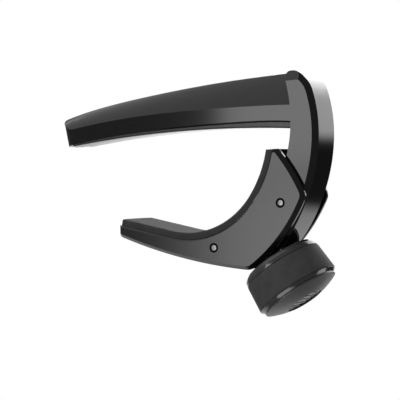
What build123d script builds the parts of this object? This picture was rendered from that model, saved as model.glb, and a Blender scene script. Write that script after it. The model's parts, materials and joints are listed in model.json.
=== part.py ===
"""Screw-clamp guitar capo.

Frame: origin in the middle of the string pad's contact arc, +X along the pad
towards the spine, +Y along the guitar's neck, +Z up and away from the strings.
All lengths are in millimetres.
"""

import os
from math import cos, radians, sin

from build123d import *

os.makedirs("parts", exist_ok=True)

# ---------------------------------------------------------------- driving dimensions
# frame casting
spine_half_width = 6.25
spine_bevel = 1.35
spine_inner_radius = 36.15
spine_inner_centre = (-3.39, 2.44)
spine_top_z = 13.0
spine_front_fillet = 1.1              # top corner on the strings' side
shoulder_drop, shoulder_width = 2.6, 1.75   # sloping shoulders at the spine's top
overcut = 0.1                         # how far a cutting shape stands clear of a face
spine_back_top = (38.05, 9.4)         # where the sloping corner meets the back
spine_corner_fillet, spine_back_fillet = 4.0, 6.0
lug_corner_fillet = 1.8
arm_half_width = 5.6
arm_lower_chamfer = 0.45
arm_tip_x = -35.45
arm_tip_fillet = 4.0
arm_tip_lean = -0.16                  # run of the tip's end towards -X for each unit of rise
string_pad_radius = 327.0
string_pad_start, string_pad_sweep = 84.35, 11.4     # degrees round the contact arc
string_pad_half_width = 5.2
string_pad_thickness = 1.9
string_pad_edge_fillet = 0.4

# hinge between the frame and the jaw
hinge_x, hinge_z = 29.7, -20.1
hinge_boss_radius = 4.4
hinge_pin_radius = 1.25
hinge_bush_radius = 1.8
running_clearance = 0.04
spring_slot_half_width = 2.1
spring_slot_radius = 3.7
spring_wire_radius = 0.35
spring_coil_radius = 2.3
spring_pitch = 0.72
spring_leg_length = 7.2

# jaw
plate_inner_y = 6.55
plate_thickness = 2.05
plate_bevel = 1.3
plate_bevel_depth = 0.95
neck_bevel = 0.4
jaw_pad_half_width = 7.7
jaw_pad_thickness = 2.1
bend_x, bend_z = 3.47, -4.66          # centre of the bend under the neck
bend_radius = 23.6
cheek_radius = 31.9                   # gentler arc up the cheek of the neck
tip_slope = 14.7                      # degrees that the jaw's tip drops towards the bend
cheek_angle = 37.45                   # degrees below +X where the two arcs meet
plate_top_z, plate_shoulder = -6.45, (29.4, -6.5)
plate_rear, plate_heel, plate_toe = (36.3, -18.6), (19.9, -36.75), (-18.3, -26.45)
rear_fillet, heel_fillet, toe_fillet = 3.0, 3.5, 1.6
plate_tip_x = -18.1
pad_tip_x, pad_face_tip_x, pad_top_z = -17.2, -16.8, -6.5
rivet_x, rivet_z = 10.3, -30.6
rivet_radius = 1.25
pin_head_chamfer = 0.25

# adjusting screw, from the point where its axis leaves the knob's inner rim
axis_x, axis_z = 25.12, -35.74
axis_tilt = 32.0                      # degrees between the screw's axis and -Z, towards +X
screw_radius = 2.5
thread_pitch = 0.8
lug_back, lug_front = 1.6, 6.9        # depth of the threaded lug along the axis
lug_half_length = 5.0
insert_radius = 3.5
anvil_depth = 12.0
foot_gap = 0.05
foot_radius = 2.9
foot_base = 8.9
screw_nose_radius = 1.5
clip_depth, clip_slot = 9.25, 0.45
clip_bore, clip_seat = 1.2, 2.2

insert_flange_radius = 4.2
insert_flange_thickness = 0.6
ring_seat_radius = 3.85
ring_seat_depth = 4.6
ring_section_radius = 0.65
retainer_depth = 2.8
anvil_radius = 3.0
anvil_thickness = 1.0
hinge_washer_radius = 3.2
hinge_washer_thickness = 0.2

# knob
knob_radius = 10.5
knob_base, knob_top = -0.3, 7.9       # heights of the grip's two ends along the axis
knob_flare = 0.65
dish_radius = 9.0
dish_depth = 1.5
rim_bevel = 0.95
hub_radius = 9.5
hub_floor = 2.0
hub_boss_radius = 4.6
bezel_inner = 9.0
cap_radius = 10.3
cap_skirt = 9.0
cap_edge = 0.5
cap_height = 2.4
cap_shell = 1.2
inlay_radius = 4.85
inlay_seat_depth = 1.1
inlay_thickness = 0.3
nut_radius = 3.6
nut_height = 1.6
shaft_end = 7.9
screw_head_radius = 3.1
head_base, head_top = 3.6, 6.2
thread_turns = 9

# ---------------------------------------------------------------- reference planes
out_dir = Vector(sin(radians(axis_tilt)), 0, -cos(radians(axis_tilt)))
across_dir = Vector(cos(radians(axis_tilt)), 0, sin(radians(axis_tilt)))
axis_point = Vector(axis_x, 0, axis_z)
screw_axis = Axis(axis_point, out_dir)
# half sections of turned pieces: local x is the radius, local y runs out of the knob
turning_plane = Plane(origin=axis_point, x_dir=across_dir, z_dir=(0, 1, 0))


def axis_plane(depth):
    """Plane square to the screw, `depth` inwards from the knob's inner rim."""
    return Plane(origin=axis_point - out_dir * depth, x_dir=(0, 1, 0), z_dir=out_dir)


def in_side_view(across, depth):
    """XZ point `across` from the screw's axis and `depth` inwards along it."""
    point = axis_point + across_dir * across - out_dir * depth
    return (point.X, point.Z)


def side_plane(y):
    """Side-view plane at one Y, seen from the near side."""
    return Plane.XZ.offset(-y)


# ---------------------------------------------------------------- shared outlines
def string_pad_outline():
    """Side view of the string pad: the contact arc and the same arc above it."""
    pad_centre = (0, -string_pad_radius)
    low = CenterArc(pad_centre, string_pad_radius, string_pad_start, string_pad_sweep)
    top_radius = string_pad_radius + string_pad_thickness
    high = CenterArc(pad_centre, top_radius, string_pad_start, string_pad_sweep)
    Line(low @ 0, high @ 0)
    Line(low @ 1, high @ 1)


def neck_side(inset, tip_x, top_z):
    """Neck side of the jaw, `inset` in front of the plates' edge: tip line, bend, cheek."""
    turn = radians(tip_slope)
    r_bend = bend_radius - inset
    r_cheek = cheek_radius - inset
    shift = cheek_radius - bend_radius
    cheek_x = bend_x - shift * cos(radians(cheek_angle))
    cheek_z = bend_z + shift * sin(radians(cheek_angle))
    bend_start = Vector(bend_x - r_bend * sin(turn), bend_z - r_bend * cos(turn))
    run = (bend_start.X - tip_x) / cos(turn)
    tip = Vector(tip_x, bend_start.Y + run * sin(turn))
    top = Vector(cheek_x + (r_cheek ** 2 - (top_z - cheek_z) ** 2) ** 0.5, top_z)
    line = Line(tip, bend_start)
    arc = CenterArc((bend_x, bend_z), r_bend, 270 - tip_slope, 90 + tip_slope - cheek_angle)
    mid_angle = radians(-0.6 * cheek_angle)
    middle = Vector(cheek_x + r_cheek * cos(mid_angle), cheek_z + r_cheek * sin(mid_angle))
    ThreePointArc(arc @ 1, middle, top)
    return line @ 0, top


def plate_outline():
    """Side view of a jaw plate."""
    tip, top = neck_side(0, plate_tip_x, plate_top_z)
    Line(top, plate_shoulder)
    ThreePointArc(plate_shoulder, (32.65, -11.2), plate_rear)
    ThreePointArc(plate_rear, (30.15, -28.0), plate_heel)
    ThreePointArc(plate_heel, (2.0, -33.35), plate_toe)
    Line(plate_toe, tip)


def on_neck_side(edge):
    """Whether an edge of a plate's outer face runs along the neck's side."""
    centre = Vector(edge.center().X, 0, edge.center().Z)
    reach = (centre - Vector(bend_x, 0, bend_z)).length
    return edge.length > 6 and reach < cheek_radius - 3 and centre.X < 27.5 and centre.Z > -32


def cavity_outline():
    """Space inside the jaw for the hinge boss, the lug and the foot."""
    wall_top = (28.85, -6.0)
    wall_waist = (25.3, -17.9)
    seat_near = in_side_view(3.6, anvil_depth)
    seat_far = in_side_view(-7.0, anvil_depth)
    ThreePointArc(wall_top, (27.25, -13.6), wall_waist)
    Line(wall_waist, seat_near)
    Line(seat_near, seat_far)
    ThreePointArc(seat_far, in_side_view(-6.6, 4.5), in_side_view(-3.8, -2.0))
    Polyline(in_side_view(-3.8, -2.0), (45, -40), (45, -6), wall_top)


def spine_outer_edges(edges):
    """Edges that run along the outside of the spine, on its two side faces."""
    on_side = [e for e in edges if abs(abs(e.center().Y) - spine_half_width) < 0.01]
    inner_x, inner_z = spine_inner_centre
    return [
        e for e in on_side
        if (e.center() - Vector(inner_x, e.center().Y, inner_z)).length > spine_inner_radius + 1.4
    ]


# ---------------------------------------------------------------- frame casting
arm_stations = [
    # x, underside, crease, ridge
    (-38.0, -1.9, 2.3, 5.9),
    (-32.0, -1.1, 3.1, 7.4),
    (-19.0, 0.2, 4.45, 9.5),
    (-5.0, 0.75, 5.1, 11.0),
    (11.0, 0.8, 5.1, 12.2),
    (33.5, -0.3, 4.3, 12.95),
]
ridge_half_width = 1.5
ridge_drop = 0.35

with BuildPart() as arm:
    # flat sides up to a crease, then leaning facets that meet in a round ridge
    for x, underside, crease, ridge in arm_stations:
        with BuildSketch(Plane.YZ.offset(x)):
            with BuildLine():
                shoulder_z = ridge - ridge_drop
                facet_mid = (arm_half_width + ridge_half_width) / 2 + 0.35
                facet_mid_z = (crease + shoulder_z) / 2 + 0.25
                chamfer_z = underside + arm_lower_chamfer
                chamfer_y = arm_half_width - arm_lower_chamfer
                Polyline(
                    (-arm_half_width, crease),
                    (-arm_half_width, chamfer_z),
                    (-chamfer_y, underside),
                    (chamfer_y, underside),
                    (arm_half_width, chamfer_z),
                    (arm_half_width, crease),
                )
                ThreePointArc(
                    (arm_half_width, crease), (facet_mid, facet_mid_z), (ridge_half_width, shoulder_z)
                )
                ThreePointArc((ridge_half_width, shoulder_z), (0, ridge), (-ridge_half_width, shoulder_z))
                ThreePointArc(
                    (-ridge_half_width, shoulder_z), (-facet_mid, facet_mid_z), (-arm_half_width, crease)
                )
            make_face()
    loft()
    # tip rounded in plan, with its end leaning in towards the strings
    with BuildSketch(Plane.XY.offset(-3)) as tip_plan:
        with BuildLine():
            Polyline(
                (arm_tip_x, -arm_half_width), (40, -arm_half_width),
                (40, arm_half_width), (arm_tip_x, arm_half_width), close=True,
            )
        make_face()
        fillet(tip_plan.vertices().group_by(Axis.X)[0], arm_tip_fillet)
    extrude(amount=18, dir=Vector(arm_tip_lean, 0, 1), mode=Mode.INTERSECT)

with BuildPart() as frame:
    # spine: a C-shaped band that ends in the threaded lug
    with BuildSketch(Plane.XZ) as spine_profile:
        with BuildLine():
            inner_x, inner_z = spine_inner_centre
            inner_top = (31.25, spine_top_z)
            inner_low = (28.55, -14.5)
            spine_corner = (34.9, spine_top_z)
            lug_top = in_side_view(8.0, lug_front)
            lug_in = in_side_view(-lug_half_length, lug_front)
            lug_out = in_side_view(-lug_half_length, lug_back)
            Polyline(inner_top, spine_corner, spine_back_top)
            Spline(
                spine_back_top, (39.62, 1.0), (38.9, -9.0), (35.65, -19.1), (29.2, -29.5), lug_out
            )
            Polyline(lug_out, lug_in, lug_top, (hinge_x, hinge_z), inner_low)
            ThreePointArc(inner_low, (inner_x + spine_inner_radius, inner_z), inner_top)
        make_face()
        fillet(spine_profile.vertices().sort_by_distance(spine_corner)[0], spine_corner_fillet)
        fillet(spine_profile.vertices().sort_by_distance(spine_back_top)[0], spine_back_fillet)
        fillet(spine_profile.vertices().sort_by_distance(lug_out)[0], lug_corner_fillet)
    extrude(amount=spine_half_width, both=True)
    chamfer(spine_outer_edges(frame.edges()), spine_bevel)
    top_corner = (inner_top[0], 0, spine_top_z)
    fillet(frame.edges().filter_by(Axis.Y).sort_by_distance(top_corner)[0], spine_front_fillet)
    # sloping shoulders on both sides of the spine's top
    with BuildSketch(Plane.YZ.offset(inner_top[0] - overcut)):
        for side in (1, -1):
            with BuildLine():
                Polyline(
                    (side * spine_half_width, spine_top_z - shoulder_drop),
                    (side * (spine_half_width - shoulder_width), spine_top_z + overcut),
                    (side * (spine_half_width + overcut), spine_top_z + overcut), close=True,
                )
            make_face()
    extrude(amount=spine_back_top[0] - inner_top[0] + 2 * overcut, mode=Mode.SUBTRACT)
    add(arm.part)
    # hinge boss, its spring slot and the bores for the bushes
    with BuildSketch(side_plane(-spine_half_width)):
        with Locations((hinge_x, hinge_z)):
            Circle(hinge_boss_radius)
    extrude(amount=-2 * spine_half_width)
    with BuildSketch(Plane.XZ):
        with BuildLine():
            Polyline((25.0, -21.0), (33.2, -19.0), (32.0, -10.4), (26.0, -10.4), close=True)
        make_face()
        with Locations((hinge_x, hinge_z)):
            Circle(spring_slot_radius)
    extrude(amount=spring_slot_half_width, both=True, mode=Mode.SUBTRACT)
    with BuildSketch(Plane.XZ):
        with Locations((hinge_x, hinge_z)):
            Circle(hinge_bush_radius)
    extrude(amount=spine_half_width, both=True, mode=Mode.SUBTRACT)
    # bore for the threaded insert and the seat of the friction ring
    with BuildSketch(axis_plane(0)):
        Circle(insert_radius)
    extrude(amount=-lug_front - 0.5, mode=Mode.SUBTRACT)
    with BuildSketch(axis_plane(0)):
        Circle(ring_seat_radius)
    extrude(amount=-ring_seat_depth, mode=Mode.SUBTRACT)
    # groove that locates the string pad
    with BuildSketch(Plane.XZ):
        with BuildLine():
            string_pad_outline()
        make_face()
    extrude(amount=string_pad_half_width, both=True, mode=Mode.SUBTRACT)
frame.part.label = "frame"
export_step(frame.part, "parts/frame.step")

with BuildPart() as string_pad:
    with BuildSketch(Plane.XZ) as string_pad_side:
        with BuildLine():
            string_pad_outline()
        make_face()
    extrude(amount=string_pad_half_width, both=True)
    fillet(string_pad.edges().filter_by(Axis.Y).group_by(Axis.Z)[0], string_pad_edge_fillet)
string_pad.part.label = "string_pad"
export_step(string_pad.part, "parts/string_pad.step")

# ---------------------------------------------------------------- hinge
for name, side in (("left", 1), ("right", -1)):
    with BuildPart() as hinge_bush:
        with BuildSketch(side_plane(side * spine_half_width)):
            with Locations((hinge_x, hinge_z)):
                Circle(hinge_bush_radius)
                Circle(hinge_pin_radius + running_clearance, mode=Mode.SUBTRACT)
        extrude(amount=side * (spine_half_width - spring_slot_half_width))
    hinge_bush.part.label = f"hinge_bush_{name}"
    export_step(hinge_bush.part, f"parts/hinge_bush_{name}.step")

    with BuildPart() as hinge_washer:
        with BuildSketch(side_plane(side * (spine_half_width + running_clearance))):
            with Locations((hinge_x, hinge_z)):
                Circle(hinge_washer_radius)
                Circle(hinge_pin_radius + running_clearance, mode=Mode.SUBTRACT)
        extrude(amount=-side * hinge_washer_thickness)
    hinge_washer.part.label = f"hinge_washer_{name}"
    export_step(hinge_washer.part, f"parts/hinge_washer_{name}.step")


def through_pin(x, z, radius):
    """Pin from the face of one plate to the face of the other, with chamfered ends."""
    half_length = plate_inner_y + plate_thickness
    with BuildSketch(Plane.XZ) as pin_section:
        with Locations((x, z)):
            Circle(radius)
    solid = extrude(pin_section.sketch, amount=half_length, both=True)
    chamfer(solid.edges().filter_by(GeomType.CIRCLE), pin_head_chamfer)


with BuildPart() as hinge_pin:
    through_pin(hinge_x, hinge_z, hinge_pin_radius)
hinge_pin.part.label = "hinge_pin"
export_step(hinge_pin.part, "parts/hinge_pin.step")

with BuildPart() as jaw_rivet:
    through_pin(rivet_x, rivet_z, rivet_radius)
jaw_rivet.part.label = "jaw_rivet"
export_step(jaw_rivet.part, "parts/jaw_rivet.step")

jaw_leg_angle, coil_turns = radians(176), 3.525
coil_height = coil_turns * spring_pitch
spring_plane = Plane(
    origin=(hinge_x, coil_height / 2, hinge_z),
    x_dir=(cos(jaw_leg_angle), 0, sin(jaw_leg_angle)),
    z_dir=(0, -1, 0),
)
coil_path = spring_plane * Helix(spring_pitch, coil_height, spring_coil_radius)
with BuildPart() as return_spring:
    leg_start, leg_way = coil_path @ 0, coil_path % 0
    leg_end, leg_end_way = coil_path @ 1, coil_path % 1
    with BuildSketch(Plane(origin=leg_start, z_dir=leg_way)):
        Circle(spring_wire_radius)
    sweep(path=coil_path, is_frenet=True)
    with BuildSketch(Plane(origin=leg_start, z_dir=leg_way)):
        Circle(spring_wire_radius)
    extrude(amount=-spring_leg_length)
    with BuildSketch(Plane(origin=leg_end, z_dir=leg_end_way)):
        Circle(spring_wire_radius)
    extrude(amount=spring_leg_length)
return_spring.part.label = "return_spring"
export_step(return_spring.part, "parts/return_spring.step")

# ---------------------------------------------------------------- jaw
for name, side in (("left", 1), ("right", -1)):
    with BuildPart() as jaw_plate:
        with BuildSketch(side_plane(side * plate_inner_y)) as plate_side:
            with BuildLine():
                plate_outline()
            make_face()
            fillet(plate_side.vertices().sort_by_distance(plate_rear)[0], rear_fillet)
            fillet(plate_side.vertices().sort_by_distance(plate_heel)[0], heel_fillet)
            fillet(plate_side.vertices().sort_by_distance(plate_toe)[0], toe_fillet)
        extrude(amount=-side * plate_thickness)
        # a broad chamfer round the outside and a narrow one beside the pad
        for beside_pad, depth, width in ((True, neck_bevel, neck_bevel),
                                         (False, plate_bevel_depth, plate_bevel)):
            outer_face = jaw_plate.faces().filter_by(Axis.Y).sort_by(Axis.Y)[0 if side < 0 else -1]
            rim = [e for e in outer_face.edges() if on_neck_side(e) == beside_pad]
            chamfer(rim, depth, width, reference=outer_face)
        with BuildSketch(side_plane(side * plate_inner_y)):
            with Locations((hinge_x, hinge_z)):
                Circle(hinge_pin_radius)
            with Locations((rivet_x, rivet_z)):
                Circle(rivet_radius)
        extrude(amount=-side * plate_thickness, mode=Mode.SUBTRACT)
    jaw_plate.part.label = f"jaw_plate_{name}"
    export_step(jaw_plate.part, f"parts/jaw_plate_{name}.step")

with BuildPart() as jaw_core:
    with BuildSketch(Plane.XZ) as core_side:
        with BuildLine():
            plate_outline()
        make_face()
        fillet(core_side.vertices().sort_by_distance(plate_toe)[0], toe_fillet)
        with BuildSketch(mode=Mode.SUBTRACT):
            with BuildLine():
                cavity_outline()
            make_face()
    extrude(amount=plate_inner_y, both=True)
    with BuildSketch(Plane.XZ):
        with Locations((rivet_x, rivet_z)):
            Circle(rivet_radius)
    extrude(amount=plate_inner_y, both=True, mode=Mode.SUBTRACT)
    with BuildSketch(axis_plane(anvil_depth)):
        Circle(anvil_radius)
    extrude(amount=-anvil_thickness, mode=Mode.SUBTRACT)
jaw_core.part.label = "jaw_core"
export_step(jaw_core.part, "parts/jaw_core.step")

with BuildPart() as anvil_plate:
    with BuildSketch(axis_plane(anvil_depth)):
        Circle(anvil_radius)
    extrude(amount=-anvil_thickness)
anvil_plate.part.label = "anvil_plate"
export_step(anvil_plate.part, "parts/anvil_plate.step")

with BuildPart() as jaw_pad:
    with BuildSketch(Plane.XZ):
        with BuildLine():
            edge_tip, edge_top = neck_side(0, pad_tip_x, pad_top_z)
            face_tip, face_top = neck_side(jaw_pad_thickness, pad_face_tip_x, pad_top_z)
            Line(edge_tip, face_tip)
            Line(edge_top, face_top)
        make_face()
    extrude(amount=jaw_pad_half_width, both=True)
jaw_pad.part.label = "jaw_pad"
export_step(jaw_pad.part, "parts/jaw_pad.step")


# ---------------------------------------------------------------- turned pieces
def turned(profile):
    """Turn a closed (radius, height) outline about the screw's axis."""
    with BuildSketch(turning_plane) as half_section:
        with BuildLine():
            Polyline(*profile, close=True)
        make_face()
    revolve(half_section.sketch, axis=screw_axis)


def crown(rim, tip_height):
    """Shallow dome from a rim point (radius, height) to its tip on the axis."""
    radius, height = rim
    rise = tip_height - height
    sphere = (radius ** 2 + rise ** 2) / (2 * abs(rise))
    drop = sphere - (sphere ** 2 - radius ** 2 / 4) ** 0.5
    ThreePointArc(rim, (radius / 2, tip_height - drop * rise / abs(rise)), (0, tip_height))


with BuildPart() as thread_insert:
    bore = screw_radius + running_clearance
    flange_top = -lug_front - insert_flange_thickness
    turned([
        (bore, -ring_seat_depth), (insert_radius, -ring_seat_depth), (insert_radius, -lug_front),
        (insert_flange_radius, -lug_front), (insert_flange_radius, flange_top), (bore, flange_top),
    ])
thread_insert.part.label = "thread_insert"
export_step(thread_insert.part, "parts/thread_insert.step")

with BuildPart() as friction_ring:
    with BuildSketch(turning_plane):
        with Locations((ring_seat_radius - ring_section_radius, -ring_seat_depth + ring_section_radius)):
            Circle(ring_section_radius)
    revolve(axis=screw_axis)
friction_ring.part.label = "friction_ring"
export_step(friction_ring.part, "parts/friction_ring.step")

with BuildPart() as ring_retainer:
    turned([
        (screw_radius + 0.2, -retainer_depth), (ring_seat_radius, -retainer_depth),
        (ring_seat_radius, -retainer_depth - 0.4), (screw_radius + 0.2, -retainer_depth - 0.4),
    ])
ring_retainer.part.label = "ring_retainer"
export_step(ring_retainer.part, "parts/ring_retainer.step")

with BuildPart() as swivel_foot:
    socket = screw_nose_radius + running_clearance
    dome_base = anvil_depth - foot_gap - 1.6
    dome_tip = anvil_depth - foot_gap
    with BuildSketch(turning_plane):
        with BuildLine():
            Polyline((0, -dome_tip), (0, -dome_base + 0.3), (socket, -dome_base + 0.3),
                     (socket, -clip_depth - clip_slot), (clip_seat, -clip_depth - clip_slot),
                     (clip_seat, -clip_depth), (socket, -clip_depth), (socket, -foot_base),
                     (foot_radius, -foot_base), (foot_radius, -dome_base))
            crown((foot_radius, -dome_base), -dome_tip)
        make_face()
    revolve(axis=screw_axis)
swivel_foot.part.label = "swivel_foot"
export_step(swivel_foot.part, "parts/swivel_foot.step")

with BuildPart() as foot_clip:
    clip_near = -clip_depth - running_clearance
    clip_far = -clip_depth - clip_slot + running_clearance
    turned([
        (clip_bore, clip_near), (clip_seat, clip_near), (clip_seat, clip_far), (clip_bore, clip_far),
    ])
foot_clip.part.label = "foot_clip"
export_step(foot_clip.part, "parts/foot_clip.step")

with BuildPart() as adjusting_screw:
    nose_end = -anvil_depth + foot_gap + 1.6 + 0.4
    clip_low, clip_high = -clip_depth - clip_slot, -clip_depth
    clip_groove = clip_bore - running_clearance
    turned([
        (0, nose_end), (screw_nose_radius, nose_end), (screw_nose_radius, clip_low),
        (clip_groove, clip_low), (clip_groove, clip_high), (screw_nose_radius, clip_high),
        (screw_nose_radius, -shaft_end), (screw_radius, -shaft_end),
        (screw_radius, head_base), (screw_head_radius, head_base),
        (screw_head_radius, head_top), (0, head_top),
    ])
    # thread form: one groove for each turn
    root = screw_radius - 0.6 * thread_pitch
    for turn in range(thread_turns):
        mid = -shaft_end + 0.3 + thread_pitch * (turn + 0.5)
        with BuildSketch(turning_plane) as groove:
            with BuildLine():
                Polyline((screw_radius + 0.1, mid - 0.3), (root, mid - 0.05), (root, mid + 0.05),
                         (screw_radius + 0.1, mid + 0.3), close=True)
            make_face()
        revolve(groove.sketch, axis=screw_axis, mode=Mode.SUBTRACT)
adjusting_screw.part.label = "adjusting_screw"
export_step(adjusting_screw.part, "parts/adjusting_screw.step")

# ---------------------------------------------------------------- knob
ring_end = knob_base - rim_bevel
with BuildPart() as knob_hub:
    turned([
        (screw_radius, dish_depth), (dish_radius, dish_depth), (dish_radius, ring_end + 0.2),
        (hub_radius, ring_end + 0.2), (hub_radius, knob_top), (dish_radius, knob_top),
        (dish_radius, dish_depth + hub_floor), (hub_boss_radius, dish_depth + hub_floor),
        (hub_boss_radius, head_top), (screw_head_radius, head_top),
        (screw_head_radius, head_base), (screw_radius, head_base),
    ])
knob_hub.part.label = "knob_hub"
export_step(knob_hub.part, "parts/knob_hub.step")

with BuildPart() as knob_grip:
    turned([
        (hub_radius, knob_base), (knob_radius, knob_base),
        (knob_radius + knob_flare, knob_top), (hub_radius, knob_top),
    ])
knob_grip.part.label = "knob_grip"
export_step(knob_grip.part, "parts/knob_grip.step")

with BuildPart() as knob_inner_ring:
    turned([
        (hub_radius, knob_base), (knob_radius, knob_base),
        (knob_radius - rim_bevel, ring_end), (hub_radius, ring_end),
    ])
knob_inner_ring.part.label = "knob_inner_ring"
export_step(knob_inner_ring.part, "parts/knob_inner_ring.step")

with BuildPart() as knob_bezel_ring:
    bezel_top = knob_top + rim_bevel
    bezel_outer = knob_radius + knob_flare
    turned([
        (bezel_inner, knob_top), (bezel_outer, knob_top), (bezel_outer - rim_bevel, bezel_top),
        (bezel_inner, bezel_top),
    ])
knob_bezel_ring.part.label = "knob_bezel_ring"
export_step(knob_bezel_ring.part, "parts/knob_bezel_ring.step")

with BuildPart() as knob_cap:
    edge_top = bezel_top + cap_edge
    dome_top = edge_top + cap_height
    inside_top = dome_top - 2 * cap_shell
    seat_floor = dome_top - inlay_seat_depth
    with BuildSketch(turning_plane):
        with BuildLine():
            crown((cap_radius, edge_top), dome_top)
            Line((0, dome_top), (0, inside_top))
            crown((cap_skirt - cap_shell, bezel_top), inside_top)
            Polyline((cap_skirt - cap_shell, bezel_top), (cap_skirt - cap_shell, knob_top),
                     (cap_skirt, knob_top), (cap_skirt, bezel_top), (cap_radius, bezel_top),
                     (cap_radius, edge_top))
        make_face()
    revolve(axis=screw_axis)
    with BuildSketch(axis_plane(-seat_floor)):
        Circle(inlay_radius)
    extrude(amount=cap_height, mode=Mode.SUBTRACT)
knob_cap.part.label = "knob_cap"
export_step(knob_cap.part, "parts/knob_cap.step")

with BuildPart() as cap_inlay:
    with BuildSketch(axis_plane(-seat_floor)):
        Circle(inlay_radius)
    extrude(amount=inlay_thickness)
    with BuildSketch(axis_plane(-seat_floor - inlay_thickness)):
        with GridLocations(inlay_radius / 4, 0, 6, 1):
            SlotOverall(inlay_radius, 0.35, rotation=90)
    extrude(amount=-0.15, mode=Mode.SUBTRACT)
cap_inlay.part.label = "cap_inlay"
export_step(cap_inlay.part, "parts/cap_inlay.step")

with BuildPart() as knob_nut:
    with BuildSketch(axis_plane(-head_top)):
        RegularPolygon(nut_radius, 6)
        Circle(1.25, mode=Mode.SUBTRACT)
    extrude(amount=nut_height)
knob_nut.part.label = "knob_nut"
export_step(knob_nut.part, "parts/knob_nut.step")
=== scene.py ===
"""Studio scene of the guitar capo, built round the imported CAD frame. All lengths are in metres."""

import json
from bisect import bisect
from math import asin, cos, pi, radians, sin, tan

import bmesh
import bpy
from mathutils import Matrix, Vector

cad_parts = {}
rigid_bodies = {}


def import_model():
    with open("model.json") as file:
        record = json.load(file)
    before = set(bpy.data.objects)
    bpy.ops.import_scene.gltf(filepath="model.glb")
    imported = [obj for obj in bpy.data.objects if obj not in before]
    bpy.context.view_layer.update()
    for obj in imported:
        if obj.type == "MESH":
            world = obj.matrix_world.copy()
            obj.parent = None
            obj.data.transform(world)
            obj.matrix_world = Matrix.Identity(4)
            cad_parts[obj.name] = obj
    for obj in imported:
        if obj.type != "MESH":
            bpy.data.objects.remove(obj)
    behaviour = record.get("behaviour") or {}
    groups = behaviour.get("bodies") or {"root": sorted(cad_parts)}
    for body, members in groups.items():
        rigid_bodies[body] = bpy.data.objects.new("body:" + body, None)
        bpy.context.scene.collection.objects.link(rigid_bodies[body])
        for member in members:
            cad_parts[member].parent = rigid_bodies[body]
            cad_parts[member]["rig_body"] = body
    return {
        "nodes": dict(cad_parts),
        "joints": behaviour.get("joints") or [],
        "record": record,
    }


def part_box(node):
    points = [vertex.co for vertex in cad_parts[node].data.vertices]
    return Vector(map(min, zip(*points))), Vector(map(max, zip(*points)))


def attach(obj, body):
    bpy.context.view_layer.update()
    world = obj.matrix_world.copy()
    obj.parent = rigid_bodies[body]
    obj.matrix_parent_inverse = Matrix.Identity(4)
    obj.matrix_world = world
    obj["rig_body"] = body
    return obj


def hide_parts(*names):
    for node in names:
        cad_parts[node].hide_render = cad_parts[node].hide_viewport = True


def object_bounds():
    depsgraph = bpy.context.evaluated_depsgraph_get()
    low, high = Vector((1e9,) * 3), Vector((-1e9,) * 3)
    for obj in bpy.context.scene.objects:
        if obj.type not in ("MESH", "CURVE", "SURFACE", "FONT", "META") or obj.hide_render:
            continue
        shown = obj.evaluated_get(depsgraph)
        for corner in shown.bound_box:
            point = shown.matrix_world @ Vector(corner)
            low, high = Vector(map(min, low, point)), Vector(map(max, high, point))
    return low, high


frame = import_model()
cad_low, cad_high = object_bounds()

mm = 0.001


# ---------------------------------------------------------------- places from the frame
def joint(name):
    """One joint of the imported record."""
    return next(j for j in frame["joints"] if j["name"] == name)


side_way = Vector((0, 1, 0))
screw_origin = Vector(joint("knob_turn")["pos_m"])
screw_out = -Vector(joint("knob_turn")["axis"]).normalized()
screw_across = screw_out.cross(side_way)
hinge_centre = Vector(joint("jaw_hinge")["pos_m"])


def node_centre(name):
    """Middle of a CAD node's box at rest."""
    low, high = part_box(name)
    return (low + high) / 2


# ---------------------------------------------------------------- materials
def add_node(tree, kind, **inputs):
    """New shader node; a keyword sets the input socket of that name."""
    node = tree.nodes.new(kind)
    for name, value in inputs.items():
        node.inputs[name.replace("_", " ")].default_value = value
    return node


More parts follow.
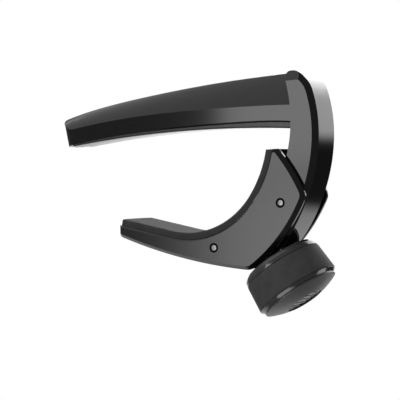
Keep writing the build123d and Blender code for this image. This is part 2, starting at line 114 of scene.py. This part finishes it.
def finish_material(name, colour, roughness, metallic=0.0, spread=0.25, mottle=0.12, patch=2.5 * mm,
                    grain=0.12 * mm, grain_depth=0.004 * mm, coat=0.0, coat_roughness=0.1,
                    specular=0.5, anisotropic=0.0):
    """Procedural finish: mottled colour, uneven roughness and a fine surface grain.

    spread is the share by which roughness varies, mottle the share by which colour varies over
    patches of that size, and grain the size of the surface texture with its depth.
    """
    material = bpy.data.materials.new(name)
    material.use_nodes = True
    tree = material.node_tree
    shader = tree.nodes["Principled BSDF"]
    place = add_node(tree, "ShaderNodeTexCoord")

    cloud = add_node(tree, "ShaderNodeTexNoise", Scale=1 / patch, Detail=3.0, Roughness=0.55)
    tree.links.new(place.outputs["Object"], cloud.inputs["Vector"])
    tint = tree.nodes.new("ShaderNodeValToRGB")
    tint.color_ramp.elements[0].position = 0.3
    tint.color_ramp.elements[1].position = 0.7
    tint.color_ramp.elements[0].color = [c * (1 - mottle) for c in colour] + [1]
    tint.color_ramp.elements[1].color = [min(1, c * (1 + mottle)) for c in colour] + [1]
    tree.links.new(cloud.outputs["Fac"], tint.inputs["Fac"])
    tree.links.new(tint.outputs["Color"], shader.inputs["Base Color"])

    speck = add_node(tree, "ShaderNodeTexNoise", Scale=1 / grain, Detail=4.0, Roughness=0.6)
    tree.links.new(place.outputs["Object"], speck.inputs["Vector"])
    gloss = add_node(tree, "ShaderNodeMapRange")
    gloss.inputs["From Min"].default_value = 0.3
    gloss.inputs["From Max"].default_value = 0.7
    gloss.inputs["To Min"].default_value = roughness * (1 - spread)
    gloss.inputs["To Max"].default_value = roughness * (1 + spread)
    tree.links.new(speck.outputs["Fac"], gloss.inputs["Value"])
    tree.links.new(gloss.outputs["Result"], shader.inputs["Roughness"])

    if grain_depth:
        bump = add_node(tree, "ShaderNodeBump", Strength=1.0, Distance=grain_depth)
        tree.links.new(speck.outputs["Fac"], bump.inputs["Height"])
        tree.links.new(bump.outputs["Normal"], shader.inputs["Normal"])

    shader.inputs["Metallic"].default_value = metallic
    shader.inputs["Specular IOR Level"].default_value = specular
    shader.inputs["Coat Weight"].default_value = coat
    shader.inputs["Coat Roughness"].default_value = coat_roughness
    shader.inputs["Anisotropic"].default_value = anisotropic
    return material


anodised = finish_material(
    "satin_black_anodised", (0.0085, 0.0085, 0.009), 0.075, spread=0.2,
    grain=0.07 * mm, grain_depth=0.0002 * mm)
anodised_plate = finish_material(
    "brushed_black_anodised", (0.0085, 0.0085, 0.009), 0.12, spread=0.2,
    grain=0.07 * mm, grain_depth=0.00025 * mm)
core_black = finish_material(
    "blasted_black_anodised", (0.012, 0.012, 0.0125), 0.85, grain_depth=0.002 * mm, specular=0.04)
string_rubber = finish_material(
    "moulded_grey_rubber", (0.05, 0.05, 0.051), 0.17, grain=0.16 * mm, grain_depth=0.008 * mm, specular=0.3)
neck_rubber = finish_material(
    "moulded_black_rubber", (0.052, 0.052, 0.053), 0.8, grain=0.2 * mm, grain_depth=0.012 * mm, specular=0.2)
seal_rubber = finish_material("seal_rubber", (0.02, 0.02, 0.02), 0.45)
brass = finish_material("turned_brass", (0.62, 0.43, 0.17), 0.28, metallic=1.0, grain_depth=0.001 * mm)
spring_steel = finish_material("spring_steel", (0.46, 0.46, 0.47), 0.3, metallic=1.0)
pin_steel = finish_material(
    "polished_pin_steel", (0.2, 0.2, 0.202), 0.3, metallic=1.0, grain_depth=0.001 * mm)
screw_steel = finish_material("zinc_plated_steel", (0.55, 0.56, 0.58), 0.26, metallic=1.0)
hub_plastic = finish_material("moulded_black_plastic", (0.02, 0.02, 0.02), 0.42, grain=0.25 * mm)
grip_plastic = finish_material(
    "soft_touch_black", (0.064, 0.064, 0.065), 0.72, grain=0.14 * mm, grain_depth=0.006 * mm, specular=0.16)
trim_gloss = finish_material(
    "gloss_black_trim", (0.055, 0.055, 0.056), 0.12, spread=0.15, grain_depth=0.0)
cap_plastic = finish_material(
    "satin_black_cap", (0.085, 0.085, 0.086), 0.4, grain=0.1 * mm, grain_depth=0.002 * mm)
inlay_gloss = finish_material(
    "gloss_black_inlay", (0.016, 0.016, 0.017), 0.2, grain_depth=0.001 * mm)

slot_materials = {
    "black_frame_finish": anodised,
    "black_core_finish": core_black,
    "string_pad_rubber": string_rubber,
    "neck_pad_rubber": neck_rubber,
    "seal_rubber": seal_rubber,
    "brass_insert": brass,
    "spring_steel": spring_steel,
    "pin_steel": pin_steel,
    "screw_steel": screw_steel,
    "knob_hub_plastic": hub_plastic,
    "knob_grip_plastic": grip_plastic,
    "knob_trim_gloss": trim_gloss,
    "knob_cap_plastic": cap_plastic,
    "cap_inlay_finish": inlay_gloss,
}
slot_of = {s["node"]: s["material_slot"] for s in frame["record"]["subparts"]}
body_of = {name: node["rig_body"] for name, node in frame["nodes"].items()}


def dress(obj, material):
    """Give an object one material in place of what it has."""
    obj.data.materials.clear()
    obj.data.materials.append(material)


# ---------------------------------------------------------------- mesh helpers
def soften(obj, width, segments=3, angle=30):
    """Round every edge sharper than angle to that width."""
    bevel = obj.modifiers.new("rounded_edges", "BEVEL")
    bevel.width = width
    bevel.segments = segments
    bevel.limit_method = "ANGLE"
    bevel.angle_limit = radians(angle)
    bevel.harden_normals = True
    bevel.miter_outer = "MITER_ARC"


def new_piece(name, mesh_data, node, material, smooth_angle=40):
    """A finished piece that stands for one CAD node: material, shading and body."""
    mesh = bpy.data.meshes.new(name)
    bmesh.ops.recalc_face_normals(mesh_data, faces=mesh_data.faces)
    mesh_data.to_mesh(mesh)
    mesh_data.free()
    mesh.shade_smooth()
    mesh.set_sharp_from_angle(angle=radians(smooth_angle))
    obj = bpy.data.objects.new(name, mesh)
    bpy.context.scene.collection.objects.link(obj)
    dress(obj, material)
    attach(obj, body_of[node])
    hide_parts(node)
    return obj


def rounded(outline, radius, steps=4, keep_axis=False):
    """Closed 2-D outline with each corner rounded by up to that radius.

    Where keep_axis is set, corners on the turning axis stay sharp.
    """
    points = [Vector(p) for p in outline]
    result = []
    for i, corner in enumerate(points):
        if keep_axis and corner.x < 1e-9:
            result.append(corner)
            continue
        back = points[i - 1] - corner
        ahead = points[(i + 1) % len(points)] - corner
        turn = back.angle(ahead)
        reach = min(radius / tan(turn / 2), 0.45 * back.length, 0.45 * ahead.length)
        if pi - turn < radians(4):
            result.append(corner)
            continue
        start, end = corner + back.normalized() * reach, corner + ahead.normalized() * reach
        for k in range(steps + 1):
            t = k / steps
            result.append(start * (1 - t) ** 2 + corner * 2 * t * (1 - t) + end * t ** 2)
    return result


def turned(name, outline, node, material, segments=144, edge=0.12, origin=None, along=None,
           start=None):
    """Piece turned about an axis from a closed (radius, height) outline in millimetres."""
    origin = screw_origin if origin is None else origin
    along = screw_out if along is None else along
    start = screw_across if start is None else start
    beside = along.cross(start)
    section = [p * mm for p in rounded(outline, edge, keep_axis=True)]
    work = bmesh.new()
    rings = []
    for radius, height in section:
        centre = origin + along * height
        if radius < 1e-9:
            rings.append([work.verts.new(centre)])
            continue
        rings.append([
            work.verts.new(centre + (start * cos(a) + beside * sin(a)) * radius)
            for a in (2 * pi * k / segments for k in range(segments))
        ])
    for low, high in zip(rings, rings[1:] + rings[:1]):
        if len(low) == 1 and len(high) == 1:
            continue
        for k in range(segments):
            corners = [low[k % len(low)], low[(k + 1) % len(low)],
                       high[(k + 1) % len(high)], high[k % len(high)]]
            work.faces.new(list(dict.fromkeys(corners)))
    return new_piece(name, work, node, material)


def dome(rim, tip_height, steps=24):
    """Points of a shallow dome from a rim (radius, height) to its tip on the axis."""
    radius, height = rim
    rise = tip_height - height
    sphere = (radius ** 2 + rise ** 2) / (2 * rise)
    points = []
    for k in range(1, steps + 1):
        r = radius * (1 - k / steps)
        points.append((r, tip_height - sphere + (sphere ** 2 - r ** 2) ** 0.5))
    return points


# ---------------------------------------------------------------- knob
knob_radius, knob_flare = 10.5, 0.65
knob_base, knob_top = -0.3, 7.9
rim_bevel = 0.95
ring_end = knob_base - rim_bevel
bezel_top = knob_top + rim_bevel
bezel_outer = knob_radius + knob_flare
hub_radius, dish_radius, dish_depth, hub_floor = 9.5, 9.0, 1.5, 2.0
cap_radius, cap_edge, cap_height, cap_skirt, cap_wall = 10.3, 0.5, 2.4, 9.0, 1.2
inlay_radius, inlay_seat_depth, inlay_thickness = 4.85, 1.1, 0.3
screw_radius = 2.5

# the trim ring shows as a band beside the grip, with a fine groove between them
band_top, groove = 0.75, 0.08
band_inset, band_foot_inset = 0.06, 0.1
shoulder_inset, shoulder_drop = 0.3, 0.4
band_flare = knob_flare * (band_top - knob_base) / (knob_top - knob_base)
turned("grip_sleeve", [
    (hub_radius, band_top + groove), (knob_radius + band_flare, band_top + groove),
    (bezel_outer, knob_top), (hub_radius, knob_top),
], "knob_grip", grip_plastic, edge=0.14)
turned("inner_trim_ring", [
    (hub_radius, band_top), (knob_radius + band_flare - band_inset, band_top),
    (knob_radius - band_foot_inset, knob_base),
    (knob_radius - shoulder_inset, knob_base - shoulder_drop),
    (knob_radius - rim_bevel, ring_end), (hub_radius, ring_end),
], "knob_inner_ring", trim_gloss, edge=0.16)
turned("bezel_trim_ring", [
    (hub_radius - 0.5, knob_top), (bezel_outer, knob_top), (bezel_outer - rim_bevel, bezel_top),
    (hub_radius - 0.5, bezel_top),
], "knob_bezel_ring", trim_gloss, edge=0.12)
turned("knob_hub_shell", [
    (screw_radius, dish_depth), (dish_radius, dish_depth), (dish_radius, ring_end + 0.2),
    (hub_radius, ring_end + 0.2), (hub_radius, knob_top), (dish_radius, knob_top),
    (dish_radius, dish_depth + hub_floor), (screw_radius, dish_depth + hub_floor),
], "knob_hub", hub_plastic, edge=0.15)

cap_rim_height = bezel_top + cap_edge
dome_tip = cap_rim_height + cap_height
seat_floor = dome_tip - inlay_seat_depth
cap_top = [p for p in dome((cap_radius, cap_rim_height), dome_tip, 40) if p[0] > inlay_radius]
seat_edge_height = cap_top[-1][1]
turned("knob_cap_dome", [
    (cap_skirt, bezel_top), (cap_radius, bezel_top), (cap_radius, cap_rim_height), *cap_top,
    (inlay_radius + 0.05, seat_edge_height), (inlay_radius + 0.05, seat_floor), (0, seat_floor),
    (0, seat_floor - cap_wall), (cap_skirt - cap_wall, bezel_top), (cap_skirt - cap_wall, knob_top),
    (cap_skirt, knob_top),
], "knob_cap", cap_plastic, edge=0.16)

# plain raised ridges on a dished disc, in place of any mark
inlay_top = seat_floor + inlay_thickness
inlay_rim, inlay_rim_foot, inlay_dish = 0.35, 0.6, 0.18
ridge_count, ridge_spacing, ridge_half, ridge_rise = 5, 1.5, 0.42, 0.22
ridge_margin, ridge_sink, ridge_steps = 0.9, 0.2, 12
turned("inlay_disc", [
    (0, seat_floor), (inlay_radius, seat_floor), (inlay_radius, inlay_top),
    (inlay_radius - inlay_rim, inlay_top), (inlay_radius - inlay_rim_foot, inlay_top - inlay_dish),
    (0, inlay_top - inlay_dish),
], "cap_inlay", inlay_gloss, edge=0.06)


def inlay_ridges():
    """Rounded bars side by side, each as long as the disc allows."""
    work = bmesh.new()
    side = screw_out.cross(screw_across)
    inner = inlay_radius - ridge_margin
    for k in range(ridge_count):
        shift = (k - (ridge_count - 1) / 2) * ridge_spacing
        reach = (inner ** 2 - shift ** 2) ** 0.5
        loops = []
        for step in range(2 * ridge_steps + 1):
            t = -1 + step / ridge_steps
            along = reach * t
            swell = (1 - abs(t) ** 8) ** 0.5
            centre = screw_origin + (screw_out * (inlay_top - ridge_sink) + side * along
                                     + screw_across * shift) * mm
            loops.append([
                work.verts.new(centre + (screw_across * (cos(a) * ridge_half * swell)
                                         + screw_out * (sin(a) * ridge_rise * swell)) * mm)
                for a in (pi * m / ridge_steps for m in range(ridge_steps + 1))
            ])
        for low, high in zip(loops, loops[1:]):
            for m in range(ridge_steps):
                work.faces.new((low[m], low[m + 1], high[m + 1], high[m]))
            work.faces.new((low[ridge_steps], low[0], high[0], high[ridge_steps]))
    bmesh.ops.remove_doubles(work, verts=work.verts, dist=1e-7)
    return new_piece("inlay_ridges", work, "cap_inlay", cap_plastic)


inlay_ridges()

# ---------------------------------------------------------------- pins and spring
pin_half_length, pin_radius, pin_head_radius, pin_recess = 8.6, 1.25, 0.82, 0.4
pin_head_taper, pin_ring_gap, pin_ring_height = 0.08, 0.01, 0.12
coil_radius, wire_radius, coil_pitch, coil_turns = 2.3, 0.35, 0.72, 3.525
spring_leg, spring_leg_angle = 7.2, radians(176)

for node in ("hinge_pin", "jaw_rivet"):
    place = {"origin": node_centre(node), "along": side_way, "start": Vector((1, 0, 0)), "segments": 64}
    recess = pin_half_length - pin_recess
    ends = [(pin_radius, recess), (pin_head_radius, recess),
            (pin_head_radius - pin_head_taper, pin_half_length), (0, pin_half_length)]
    turned(node + "_turned", [(r, -h) for r, h in reversed(ends)] + ends, node, pin_steel,
           edge=0.07, **place)
    # painted shade: a black ring sunk round each head stands in for the shade of the recess round it
    for end, side in (("left", 1), ("right", -1)):
        turned(node + "_recess_shade_ring_" + end, [
            (pin_head_radius + pin_ring_gap, side * recess), (pin_radius, side * recess),
            (pin_radius, side * (recess + pin_ring_height)),
            (pin_head_radius + pin_ring_gap, side * (recess + pin_ring_height)),
        ], node, core_black, edge=0.03, **place)


def tube(name, path, radius, node, material, segments=20):
    """Round wire along a path, with closed rounded ends."""
    work = bmesh.new()
    ways = [(path[min(i + 1, len(path) - 1)] - path[max(i - 1, 0)]).normalized() for i in range(len(path))]
    across = ways[0].orthogonal().normalized()
    rings = []
    for i, (spot, way) in enumerate(zip(path, ways)):
        across = (across - way * across.dot(way)).normalized()
        beside = way.cross(across)
        tips = ((0.93, 0.35), (0.7, 0.75)) if i in (0, len(path) - 1) else ()
        outward = -1 if i == 0 else 1
        hoops = [(1.0, 0.0)] + [(width, 0.35 * reach) for width, reach in tips]
        if i == 0:
            hoops.reverse()
        for width, reach in hoops:
            rings.append([
                work.verts.new(spot + way * (outward * reach * radius)
                               + (across * cos(a) + beside * sin(a)) * radius * width)
                for a in (2 * pi * k / segments for k in range(segments))
            ])
    for low, high in zip(rings, rings[1:]):
        for k in range(segments):
            j = (k + 1) % segments
            work.faces.new((low[k], low[j], high[j], high[k]))
    work.faces.new(rings[0])
    work.faces.new(rings[-1])
    return new_piece(name, work, node, material)


def spring_path():
    """Coil round the hinge pin with a straight leg from each end."""
    first = Vector((cos(spring_leg_angle), 0, sin(spring_leg_angle)))
    down = Vector((0, -1, 0))
    second = down.cross(first)
    height = coil_turns * coil_pitch
    steps = round(coil_turns * 40)
    coil = []
    for k in range(steps + 1):
        a = 2 * pi * coil_turns * k / steps
        coil.append(hinge_centre + (first * cos(a) * coil_radius + second * sin(a) * coil_radius
                                    + down * (coil_pitch * a / (2 * pi) - height / 2)) * mm)
    lead_in = (coil[0] - coil[1]).normalized() * (spring_leg * mm)
    lead_out = (coil[-1] - coil[-2]).normalized() * (spring_leg * mm)
    legs = [0.97 - k / 6 for k in range(6)]
    return ([coil[0] + lead_in * t for t in legs] + coil + [coil[-1] + lead_out * t for t in reversed(legs)])


tube("return_spring_wire", spring_path(), wire_radius * mm, "return_spring", spring_steel)

# ---------------------------------------------------------------- moulded pads
string_pad_radius, string_pad_thickness, string_pad_half_width = 327.0, 1.9, 5.2
string_pad_start, string_pad_sweep = 84.35, 11.4
bend_x, bend_z, bend_radius, cheek_radius = 3.47, -4.66, 23.6, 31.9
tip_slope, cheek_angle = radians(14.7), radians(37.45)
neck_pad_top, neck_pad_half_width = -6.5, 7.7
neck_pad_at_tip, neck_pad_at_cheek = 1.8, 2.1
face_tip_x, seat_tip_x = -16.8, -17.2
corner_steps, crown_steps, ring_spacing = 6, 8, 0.8


def neck_line(inset, tip_x):
    """Side view of the jaw's neck side: tip line, bend and cheek, in that order."""
    r_bend, r_cheek = bend_radius - inset, cheek_radius - inset
    shift = cheek_radius - bend_radius
    cheek_x = bend_x - shift * cos(cheek_angle)
    cheek_z = bend_z + shift * sin(cheek_angle)
    start = Vector((bend_x - r_bend * sin(tip_slope), 0, bend_z - r_bend * cos(tip_slope)))
    run = (start.x - tip_x) / cos(tip_slope)
    tip = Vector((tip_x, 0, start.z + run * sin(tip_slope)))
    points = [tip.lerp(start, k / 80) for k in range(80)]
    sweep = pi / 2 + tip_slope - cheek_angle
    for k in range(120):
        a = -pi / 2 - tip_slope + sweep * k / 120
        points.append(Vector((bend_x + r_bend * cos(a), 0, bend_z + r_bend * sin(a))))
    top_angle = asin((neck_pad_top - cheek_z) / r_cheek)
    for k in range(81):
        a = -cheek_angle + (top_angle + cheek_angle) * k / 80
        points.append(Vector((cheek_x + r_cheek * cos(a), 0, cheek_z + r_cheek * sin(a))))
    return points


def along_line(line, lengths, spot):
    """Point at that length along a line of points."""
    i = min(max(bisect(lengths, spot) - 1, 0), len(line) - 2)
    gap = lengths[i + 1] - lengths[i]
    return line[i].lerp(line[i + 1], (spot - lengths[i]) / gap)


def moulded_pad(name, face, seat, half_width, edge, crown, node, material):
    """Pad between its contact face's line and its seat's line, with the face's edges rounded.

    crown is how far the face stands up in the middle over its sides.
    """
    lengths = [0.0]
    for a, b in zip(face, face[1:]):
        lengths.append(lengths[-1] + (b - a).length)
    total = lengths[-1]
    near_end = [edge * (1 - cos(pi / 2 * k / corner_steps)) for k in range(corner_steps + 1)]
    count = round((total - 2 * edge) / ring_spacing)
    spots = near_end + [edge + (total - 2 * edge) * k / count for k in range(1, count)]
    spots += [total - spot for spot in reversed(near_end)]
    work = bmesh.new()
    rings = []
    for spot in spots:
        low, high = along_line(face, lengths, spot), along_line(seat, lengths, spot)
        thick = (high - low).length
        rise = (high - low).normalized()
        reach = min(spot, total - spot)
        lift = edge - (max(edge ** 2 - (edge - min(reach, edge)) ** 2, 0)) ** 0.5
        section = [(half_width, thick)]
        for k in range(corner_steps + 1):
            a = pi / 2 * k / corner_steps
            section.append((half_width - edge + edge * cos(a), crown + edge - edge * sin(a)))
        for k in range(1, crown_steps):
            y = (half_width - edge) * (1 - k / crown_steps)
            section.append((y, crown * (y / (half_width - edge)) ** 2))
        section += [(0, 0)] + [(-y, depth) for y, depth in reversed(section)]
        # the face rises towards each end, so that its end edges are rounded too
        rings.append([
            work.verts.new((low + rise * max(depth, min(lift, thick)) + side_way * y) * mm)
            for y, depth in section
        ])
    around = len(rings[0])
    for low, high in zip(rings, rings[1:]):
        for k in range(around):
            j = (k + 1) % around
            work.faces.new((low[k], low[j], high[j], high[k]))
    work.faces.new(rings[0])
    work.faces.new(rings[-1])
    return new_piece(name, work, node, material, smooth_angle=50)


def arc_line(radius):
    """String pad's arc at that radius, from the spine to the arm's tip."""
    turns = (radians(string_pad_start + string_pad_sweep * k / 200) for k in range(201))
    return [Vector((radius * cos(a), 0, radius * sin(a) - string_pad_radius)) for a in turns]


moulded_pad("string_pad_moulding", arc_line(string_pad_radius),
            arc_line(string_pad_radius + string_pad_thickness),
            string_pad_half_width, 0.4, 0.06, "string_pad", string_rubber)

neck_seat = neck_line(0, seat_tip_x)
neck_thin = neck_line(neck_pad_at_tip, face_tip_x)
neck_thick = neck_line(neck_pad_at_cheek, face_tip_x)
neck_face = [a.lerp(b, k / (len(neck_thin) - 1)) for k, (a, b) in enumerate(zip(neck_thin, neck_thick))]
moulded_pad("neck_pad_moulding", neck_face, neck_seat, neck_pad_half_width, 0.45, 0.1,
            "jaw_pad", neck_rubber)

# ---------------------------------------------------------------- carried-over CAD nodes
for name, node in frame["nodes"].items():
    if not node.hide_render:
        dress(node, slot_materials[slot_of[name]])
for name in ("jaw_plate_left", "jaw_plate_right"):
    dress(frame["nodes"][name], anodised_plate)

weld_reach = 0.002 * mm
edge_width = {
    "frame": 0.22, "jaw_plate_left": 0.22, "jaw_plate_right": 0.22, "jaw_core": 0.22,
    "knob_nut": 0.1, "anvil_plate": 0.08,
}
for name, width in edge_width.items():
    node = frame["nodes"][name]
    weld = node.modifiers.new("weld", "WELD")
    weld.merge_threshold = weld_reach
    soften(node, width * mm)
    even = node.modifiers.new("even_normals", "WEIGHTED_NORMAL")
    even.mode = "FACE_AREA_WITH_ANGLE"
    even.weight = 50
    even.keep_sharp = True

# ---------------------------------------------------------------- studio
floor_drop, bowl_radius, bowl_bend, bowl_height = 600 * mm, 2.0, 0.8, 2.4


def seamless_bowl():
    """Pale floor that curves up into a wall all round."""
    centre = (cad_low + cad_high) / 2
    floor_z = cad_low.z - floor_drop
    profile = [(0.0, 0.0), (bowl_radius - bowl_bend, 0.0)]
    for k in range(1, 17):
        a = pi / 2 * k / 16
        profile.append((bowl_radius - bowl_bend + bowl_bend * sin(a), bowl_bend * (1 - cos(a))))
    profile.append((bowl_radius, bowl_height))
    profile.append((0.0, bowl_height))
    work = bmesh.new()
    segments = 96
    rings = []
    for radius, height in profile:
        spot = Vector((centre.x, centre.y, floor_z + height))
        if radius == 0:
            rings.append([work.verts.new(spot)])
        else:
            rings.append([
                work.verts.new(spot + Vector((cos(a), sin(a), 0)) * radius)
                for a in (2 * pi * k / segments for k in range(segments))
            ])
    for low, high in zip(rings, rings[1:]):
        for k in range(segments):
            corners = [low[k % len(low)], low[(k + 1) % len(low)],
                       high[(k + 1) % len(high)], high[k % len(high)]]
            work.faces.new(list(dict.fromkeys(corners)))
    mesh = bpy.data.meshes.new("seamless_bowl")
    work.to_mesh(mesh)
    work.free()
    mesh.shade_smooth()
    bowl = bpy.data.objects.new("seamless_bowl", mesh)
    bpy.context.scene.collection.objects.link(bowl)
    paper = bpy.data.materials.new("pale_paper")
    paper.use_nodes = True
    shader = paper.node_tree.nodes["Principled BSDF"]
    shader.inputs["Base Color"].default_value = (0, 0, 0, 1)
    shader.inputs["Specular IOR Level"].default_value = 0.0
    shader.inputs["Emission Color"].default_value = (1, 1, 1, 1)
    shader.inputs["Emission Strength"].default_value = 1.0
    bowl.data.materials.append(paper)
    # the paper is a background only: the soft boxes outside it light the object
    bowl.visible_diffuse = False
    bowl.visible_glossy = False
    bowl.visible_shadow = False


# soft boxes and flags round the object, by direction: azimuth from -Y towards +X and elevation,
# both in degrees, then the width of the soft edge and the brightness
soft_boxes = [
    # azimuths, elevations, edge, brightness
    ((-145, -22), (30, 80), 8, 0.85),       # overhead on the left
    ((-180, -118), (-60, -6), 8, 0.9),      # low behind on the left
    ((-27.1, -8), (1.6, 14), 0.2, 3.9),     # tall front box, upper half
    ((-28.2, -8), (-12, 1.6), 1.6, 3.9),    # tall front box, lower half
    ((-117, -100), (19, 43), 3, 2.6),       # narrow strip on the left
    ((-180, -152), (-1, 60), 3, 2.0),       # bright wall behind
    ((145, 180), (-1, 60), 3, 2.0),
    ((-180, -152), (15, 60), 4, 3.8),       # its brighter upper part
    ((145, 180), (15, 60), 4, 3.8),
    ((118, 152), (-27, -11), 3, 3.0),       # low strip behind on the right
    ((140, 180), (-19, -3), 3, 0.02),       # black flag behind
    ((-180, -165), (-25.5, -19.5), 1.5, 1.1),
    ((155, 180), (-25.5, -19.5), 1.5, 1.1),
    ((-168, -122), (-6, 5), 3, 1.9),        # pale paper seen level, under the pads
    ((0, 80), (-86, -58), 4, 3.4),          # strip under the knob
]
ambient = 0.16


def studio_light():
    """World shader made of the soft boxes."""
    world = bpy.data.worlds.new("studio")
    bpy.context.scene.world = world
    world.use_nodes = True
    tree = world.node_tree
    links = tree.links

    def math(operation, first, second=None, clamp=False):
        node = tree.nodes.new("ShaderNodeMath")
        node.operation = operation
        node.use_clamp = clamp
        for socket, value in zip(node.inputs, (first, second)):
            if value is None:
                continue
            if isinstance(value, (int, float)):
                socket.default_value = value
            else:
                links.new(value, socket)
        return node.outputs[0]

    way = tree.nodes.new("ShaderNodeTexCoord").outputs["Generated"]
    split = tree.nodes.new("ShaderNodeSeparateXYZ")
    links.new(way, split.inputs[0])
    azimuth = math("DEGREES", math("ARCTAN2", split.outputs[0], math("MULTIPLY", split.outputs[1], -1.0)))
    elevation = math("DEGREES", math("ARCSINE", split.outputs[2]))

    def inside(value, low, high, edge):
        """1 between low and high, with a soft edge outside and inside each limit."""
        distance = math("MINIMUM", math("SUBTRACT", value, low), math("SUBTRACT", high, value))
        ramp = tree.nodes.new("ShaderNodeMapRange")
        ramp.interpolation_type = "SMOOTHSTEP"
        ramp.inputs["From Min"].default_value = -edge
        ramp.inputs["From Max"].default_value = edge
        links.new(distance, ramp.inputs["Value"])
        return ramp.outputs["Result"]

    level = ambient
    for azimuths, elevations, edge, brightness in soft_boxes:
        low_a = azimuths[0] - (2 * edge if azimuths[0] == -180 else 0)
        high_a = azimuths[1] + (2 * edge if azimuths[1] == 180 else 0)
        mask = math("MULTIPLY", inside(azimuth, low_a, high_a, edge), inside(elevation, *elevations, edge))
        # level + (brightness - level) * mask
        gap = math("SUBTRACT", brightness, level)
        level = math("ADD", level, math("MULTIPLY", gap, mask))
    background = tree.nodes["Background"]
    links.new(level, background.inputs["Strength"])
    background.inputs["Color"].default_value = (1, 1, 1, 1)


lamp_size, lamp_power = 0.6, 4.0
lamp_place = Vector((-0.25, -0.3, 0.7))


def top_light():
    """One large soft box overhead, for the matte pads and plastics."""
    data = bpy.data.lights.new("overhead_soft_box", "AREA")
    data.shape = "DISK"
    data.size = lamp_size
    data.energy = lamp_power
    lamp = bpy.data.objects.new("overhead_soft_box", data)
    bpy.context.scene.collection.objects.link(lamp)
    centre = (cad_low + cad_high) / 2
    lamp.location = centre + lamp_place
    lamp.rotation_euler = (lamp.location - centre).to_track_quat("Z", "Y").to_euler()
    lamp.visible_glossy = False
    lamp.visible_camera = False


seamless_bowl()
studio_light()
top_light()

# ---------------------------------------------------------------- camera
camera_azimuth, camera_elevation, camera_roll = 28.02, -0.49, -3.18
camera_distance = 0.395
focal_length, sensor_width = 135, 36
aim_offset = Vector((1.14, 0, -0.03)) * mm


def photograph_camera():
    """Long-lens camera almost level with the object, seen from its open side."""
    data = bpy.data.cameras.new("camera")
    data.lens = focal_length
    data.sensor_width = sensor_width
    camera = bpy.data.objects.new("camera", data)
    bpy.context.scene.collection.objects.link(camera)
    aim = (cad_low + cad_high) / 2 + aim_offset
    a, e = radians(camera_azimuth), radians(camera_elevation)
    back = Vector((sin(a) * cos(e), -cos(a) * cos(e), sin(e)))
    turn = back.to_track_quat("Z", "Y").to_matrix().to_4x4() @ Matrix.Rotation(radians(camera_roll), 4, "Z")
    camera.matrix_world = Matrix.Translation(aim + back * camera_distance) @ turn
    bpy.context.scene.camera = camera


photograph_camera()
bpy.context.scene.view_settings.view_transform = "Standard"
